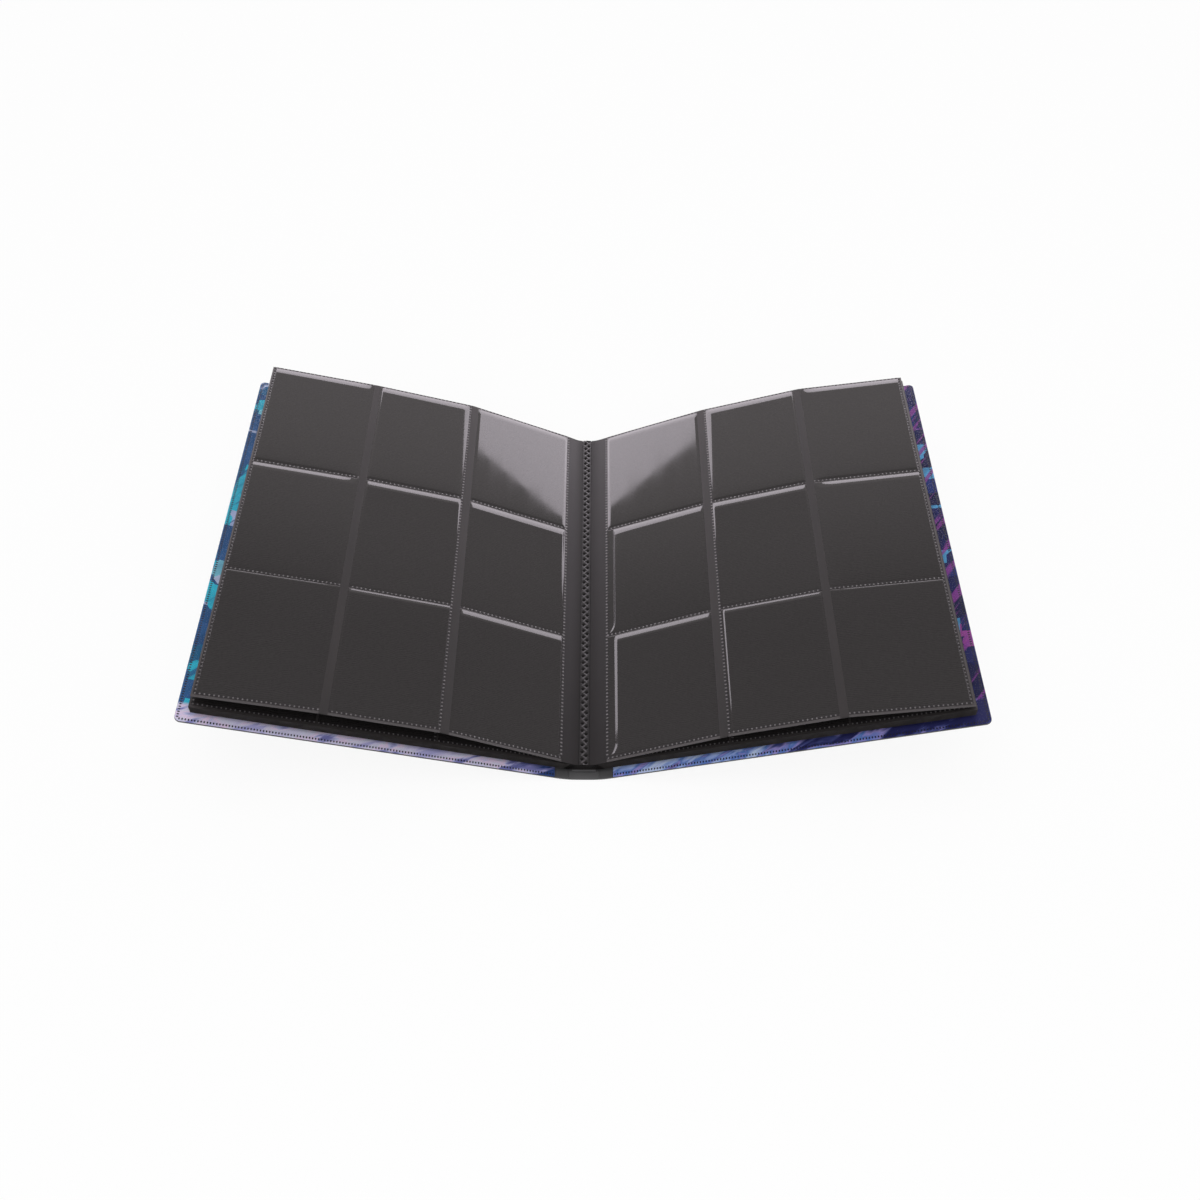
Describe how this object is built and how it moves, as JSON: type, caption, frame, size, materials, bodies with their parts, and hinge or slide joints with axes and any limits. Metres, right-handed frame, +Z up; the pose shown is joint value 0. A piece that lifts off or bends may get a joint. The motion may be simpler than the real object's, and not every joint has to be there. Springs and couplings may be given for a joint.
{
  "type": "trading card album",
  "caption": "Soft-cover pocket album lying open in a shallow V: clear top-loading card pockets on black leaves, welded at a centre seam between printed covers.",
  "frame": {"origin": "bottom centre of the open album, on the surface under the middle of the spine", "axes": "+Z up, +Y along the spine towards the pocket mouths, +X to the right-hand cover"},
  "size_m": [0.4536, 0.2854, 0.0765],
  "materials": {
    "cover_sheet": "charcoal polypropylene sheet, fine satin grain",
    "leaf_backing": "black polypropylene backing sheet with fine lines",
    "clear_film": "clear polypropylene film, glossy",
    "left_print": null,
    "right_print": null
  },
  "bodies": {
    "spine": {"spine_outer_sheet": "cover_sheet", "spine_liner": "cover_sheet", "binding_strip": "cover_sheet", "page_seam": "leaf_backing"},
    "left_cover": {"left_cover_outer_sheet": "cover_sheet", "left_cover_print": "left_print", "left_cover_clear_film": "clear_film"},
    "left_leaf_02": {"left_leaf_02": "leaf_backing"},
    "left_leaf_03": {"left_leaf_03": "leaf_backing"},
    "left_leaf_04": {"left_leaf_04": "leaf_backing"},
    "left_leaf_05": {"left_leaf_05": "leaf_backing"},
    "left_leaf_06": {"left_leaf_06": "leaf_backing"},
    "left_leaf_07": {"left_leaf_07": "leaf_backing"},
    "left_leaf_08": {"left_leaf_08": "leaf_backing"},
    "left_leaf_09": {"left_leaf_09": "leaf_backing"},
    "left_leaf_10": {"left_leaf_10": "leaf_backing"},
    "left_top_leaf_gutter": {"left_top_leaf_gutter_band": "leaf_backing"},
    "left_top_leaf_inner": {"left_top_leaf_backing_inner": "leaf_backing", "left_top_leaf_film_inner_row_1": "clear_film", "left_top_leaf_film_inner_row_2": "clear_film", "left_top_leaf_film_inner_row_3": "clear_film", "left_top_leaf_back_film_inner": "clear_film"},
    "left_top_leaf_middle": {"left_top_leaf_backing_middle": "leaf_backing", "left_top_leaf_film_middle_row_1": "clear_film", "left_top_leaf_film_middle_row_2": "clear_film", "left_top_leaf_film_middle_row_3": "clear_film", "left_top_leaf_back_film_middle": "clear_film"},
    "left_top_leaf_outer": {"left_top_leaf_backing_outer": "leaf_backing", "left_top_leaf_film_outer_row_1": "clear_film", "left_top_leaf_film_outer_row_2": "clear_film", "left_top_leaf_film_outer_row_3": "clear_film", "left_top_leaf_back_film_outer": "clear_film"},
    "right_cover": {"right_cover_outer_sheet": "cover_sheet", "right_cover_print": "right_print", "right_cover_clear_film": "clear_film"},
    "right_leaf_02": {"right_leaf_02": "leaf_backing"},
    "right_leaf_03": {"right_leaf_03": "leaf_backing"},
    "right_leaf_04": {"right_leaf_04": "leaf_backing"},
    "right_leaf_05": {"right_leaf_05": "leaf_backing"},
    "right_leaf_06": {"right_leaf_06": "leaf_backing"},
    "right_leaf_07": {"right_leaf_07": "leaf_backing"},
    "right_leaf_08": {"right_leaf_08": "leaf_backing"},
    "right_leaf_09": {"right_leaf_09": "leaf_backing"},
    "right_leaf_10": {"right_leaf_10": "leaf_backing"},
    "right_top_leaf_gutter": {"right_top_leaf_gutter_band": "leaf_backing"},
    "right_top_leaf_inner": {"right_top_leaf_backing_inner": "leaf_backing", "right_top_leaf_film_inner_row_1": "clear_film", "right_top_leaf_film_inner_row_2": "clear_film", "right_top_leaf_film_inner_row_3": "clear_film", "right_top_leaf_back_film_inner": "clear_film"},
    "right_top_leaf_middle": {"right_top_leaf_backing_middle": "leaf_backing", "right_top_leaf_film_middle_row_1": "clear_film", "right_top_leaf_film_middle_row_2": "clear_film", "right_top_leaf_film_middle_row_3": "clear_film", "right_top_leaf_back_film_middle": "clear_film"},
    "right_top_leaf_outer": {"right_top_leaf_backing_outer": "leaf_backing", "right_top_leaf_film_outer_row_1": "clear_film", "right_top_leaf_film_outer_row_2": "clear_film", "right_top_leaf_film_outer_row_3": "clear_film", "right_top_leaf_back_film_outer": "clear_film"}
  },
  "joints": [
    {"name": "left_cover_fold", "type": "hinge", "parent": "spine", "child": "left_cover", "pos_m": [-0.01, 0, 0.0012], "axis": [0, -1, 0], "range_deg": [-74.2, 15.2]},
    {"name": "left_leaf_02_fold", "type": "hinge", "parent": "spine", "child": "left_leaf_02", "pos_m": [-0.0037, 0, 0.00825], "axis": [0, -1, 0], "range_deg": [-74.2, 15.2]},
    {"name": "left_leaf_03_fold", "type": "hinge", "parent": "spine", "child": "left_leaf_03", "pos_m": [-0.0042, 0, 0.00775], "axis": [0, -1, 0], "range_deg": [-74.2, 15.2]},
    {"name": "left_leaf_04_fold", "type": "hinge", "parent": "spine", "child": "left_leaf_04", "pos_m": [-0.0047, 0, 0.00725], "axis": [0, -1, 0], "range_deg": [-74.2, 15.2]},
    {"name": "left_leaf_05_fold", "type": "hinge", "parent": "spine", "child": "left_leaf_05", "pos_m": [-0.0052, 0, 0.00675], "axis": [0, -1, 0], "range_deg": [-74.2, 15.2]},
    {"name": "left_leaf_06_fold", "type": "hinge", "parent": "spine", "child": "left_leaf_06", "pos_m": [-0.0057, 0, 0.00625], "axis": [0, -1, 0], "range_deg": [-74.2, 15.2]},
    {"name": "left_leaf_07_fold", "type": "hinge", "parent": "spine", "child": "left_leaf_07", "pos_m": [-0.0062, 0, 0.00575], "axis": [0, -1, 0], "range_deg": [-74.2, 15.2]},
    {"name": "left_leaf_08_fold", "type": "hinge", "parent": "spine", "child": "left_leaf_08", "pos_m": [-0.0067, 0, 0.00525], "axis": [0, -1, 0], "range_deg": [-74.2, 15.2]},
    {"name": "left_leaf_09_fold", "type": "hinge", "parent": "spine", "child": "left_leaf_09", "pos_m": [-0.0072, 0, 0.00475], "axis": [0, -1, 0], "range_deg": [-74.2, 15.2]},
    {"name": "left_leaf_10_fold", "type": "hinge", "parent": "spine", "child": "left_leaf_10", "pos_m": [-0.0077, 0, 0.00425], "axis": [0, -1, 0], "range_deg": [-74.2, 15.2]},
    {"name": "left_top_leaf_turn", "type": "hinge", "parent": "left_leaf_02", "child": "left_top_leaf_gutter", "pos_m": [-0.00395, 0, 0.00895], "axis": [0, 1, 0], "range_deg": [0, 25]},
    {"name": "left_top_leaf_bow", "type": "hinge", "parent": "left_top_leaf_gutter", "child": "left_top_leaf_inner", "pos_m": [-0.013, 0, 0.0127], "axis": [0, 1, 0], "range_deg": [-7, 0], "stiffness_Nm_per_rad": 0.1, "springref_deg": 34.38},
    {"name": "left_top_leaf_bow_middle", "type": "hinge", "parent": "left_top_leaf_inner", "child": "left_top_leaf_middle", "pos_m": [-0.08037, 0, 0.04185], "axis": [0, 1, 0], "range_deg": [0, 6.62]},
    {"name": "left_top_leaf_bow_outer", "type": "hinge", "parent": "left_top_leaf_middle", "child": "left_top_leaf_outer", "pos_m": [-0.14622, 0, 0.06036], "axis": [0, 1, 0], "range_deg": [0, 2.1]},
    {"name": "right_cover_fold", "type": "hinge", "parent": "spine", "child": "right_cover", "pos_m": [0.01, 0, 0.0012], "axis": [0, 1, 0], "range_deg": [-74.2, 15.2]},
    {"name": "right_leaf_02_fold", "type": "hinge", "parent": "spine", "child": "right_leaf_02", "pos_m": [0.0037, 0, 0.00825], "axis": [0, 1, 0], "range_deg": [-74.2, 15.2]},
    {"name": "right_leaf_03_fold", "type": "hinge", "parent": "spine", "child": "right_leaf_03", "pos_m": [0.0042, 0, 0.00775], "axis": [0, 1, 0], "range_deg": [-74.2, 15.2]},
    {"name": "right_leaf_04_fold", "type": "hinge", "parent": "spine", "child": "right_leaf_04", "pos_m": [0.0047, 0, 0.00725], "axis": [0, 1, 0], "range_deg": [-74.2, 15.2]},
    {"name": "right_leaf_05_fold", "type": "hinge", "parent": "spine", "child": "right_leaf_05", "pos_m": [0.0052, 0, 0.00675], "axis": [0, 1, 0], "range_deg": [-74.2, 15.2]},
    {"name": "right_leaf_06_fold", "type": "hinge", "parent": "spine", "child": "right_leaf_06", "pos_m": [0.0057, 0, 0.00625], "axis": [0, 1, 0], "range_deg": [-74.2, 15.2]},
    {"name": "right_leaf_07_fold", "type": "hinge", "parent": "spine", "child": "right_leaf_07", "pos_m": [0.0062, 0, 0.00575], "axis": [0, 1, 0], "range_deg": [-74.2, 15.2]},
    {"name": "right_leaf_08_fold", "type": "hinge", "parent": "spine", "child": "right_leaf_08", "pos_m": [0.0067, 0, 0.00525], "axis": [0, 1, 0], "range_deg": [-74.2, 15.2]},
    {"name": "right_leaf_09_fold", "type": "hinge", "parent": "spine", "child": "right_leaf_09", "pos_m": [0.0072, 0, 0.00475], "axis": [0, 1, 0], "range_deg": [-74.2, 15.2]},
    {"name": "right_leaf_10_fold", "type": "hinge", "parent": "spine", "child": "right_leaf_10", "pos_m": [0.0077, 0, 0.00425], "axis": [0, 1, 0], "range_deg": [-74.2, 15.2]},
    {"name": "right_top_leaf_turn", "type": "hinge", "parent": "right_leaf_02", "child": "right_top_leaf_gutter", "pos_m": [0.00395, 0, 0.00895], "axis": [0, -1, 0], "range_deg": [0, 133]},
    {"name": "right_top_leaf_bow", "type": "hinge", "parent": "right_top_leaf_gutter", "child": "right_top_leaf_inner", "pos_m": [0.01327, 0, 0.01198], "axis": [0, -1, 0], "range_deg": [-5.5, 0], "stiffness_Nm_per_rad": 0.1, "springref_deg": 34.38},
    {"name": "right_top_leaf_bow_middle", "type": "hinge", "parent": "right_top_leaf_inner", "child": "right_top_leaf_middle", "pos_m": [0.08152, 0, 0.039], "axis": [0, -1, 0], "range_deg": [0, 4.35]},
    {"name": "right_top_leaf_bow_outer", "type": "hinge", "parent": "right_top_leaf_middle", "child": "right_top_leaf_outer", "pos_m": [0.14707, 0, 0.05854], "axis": [0, -1, 0], "range_deg": [0, 6.75]}
  ],
  "couplings": [
    {"joint": "left_leaf_02_fold", "follows": "left_cover_fold", "ratio": 1},
    {"joint": "left_leaf_03_fold", "follows": "left_cover_fold", "ratio": 1},
    {"joint": "left_leaf_04_fold", "follows": "left_cover_fold", "ratio": 1},
    {"joint": "left_leaf_05_fold", "follows": "left_cover_fold", "ratio": 1},
    {"joint": "left_leaf_06_fold", "follows": "left_cover_fold", "ratio": 1},
    {"joint": "left_leaf_07_fold", "follows": "left_cover_fold", "ratio": 1},
    {"joint": "left_leaf_08_fold", "follows": "left_cover_fold", "ratio": 1},
    {"joint": "left_leaf_09_fold", "follows": "left_cover_fold", "ratio": 1},
    {"joint": "left_leaf_10_fold", "follows": "left_cover_fold", "ratio": 1},
    {"joint": "left_top_leaf_bow_middle", "follows": "left_top_leaf_bow", "ratio": -0.93902},
    {"joint": "left_top_leaf_bow_outer", "follows": "left_top_leaf_bow", "ratio": -0.29268},
    {"joint": "right_leaf_02_fold", "follows": "right_cover_fold", "ratio": 1},
    {"joint": "right_leaf_03_fold", "follows": "right_cover_fold", "ratio": 1},
    {"joint": "right_leaf_04_fold", "follows": "right_cover_fold", "ratio": 1},
    {"joint": "right_leaf_05_fold", "follows": "right_cover_fold", "ratio": 1},
    {"joint": "right_leaf_06_fold", "follows": "right_cover_fold", "ratio": 1},
    {"joint": "right_leaf_07_fold", "follows": "right_cover_fold", "ratio": 1},
    {"joint": "right_leaf_08_fold", "follows": "right_cover_fold", "ratio": 1},
    {"joint": "right_leaf_09_fold", "follows": "right_cover_fold", "ratio": 1},
    {"joint": "right_leaf_10_fold", "follows": "right_cover_fold", "ratio": 1},
    {"joint": "right_top_leaf_bow_middle", "follows": "right_top_leaf_bow", "ratio": -0.78125},
    {"joint": "right_top_leaf_bow_outer", "follows": "right_top_leaf_bow", "ratio": -1.2188}
  ]
}
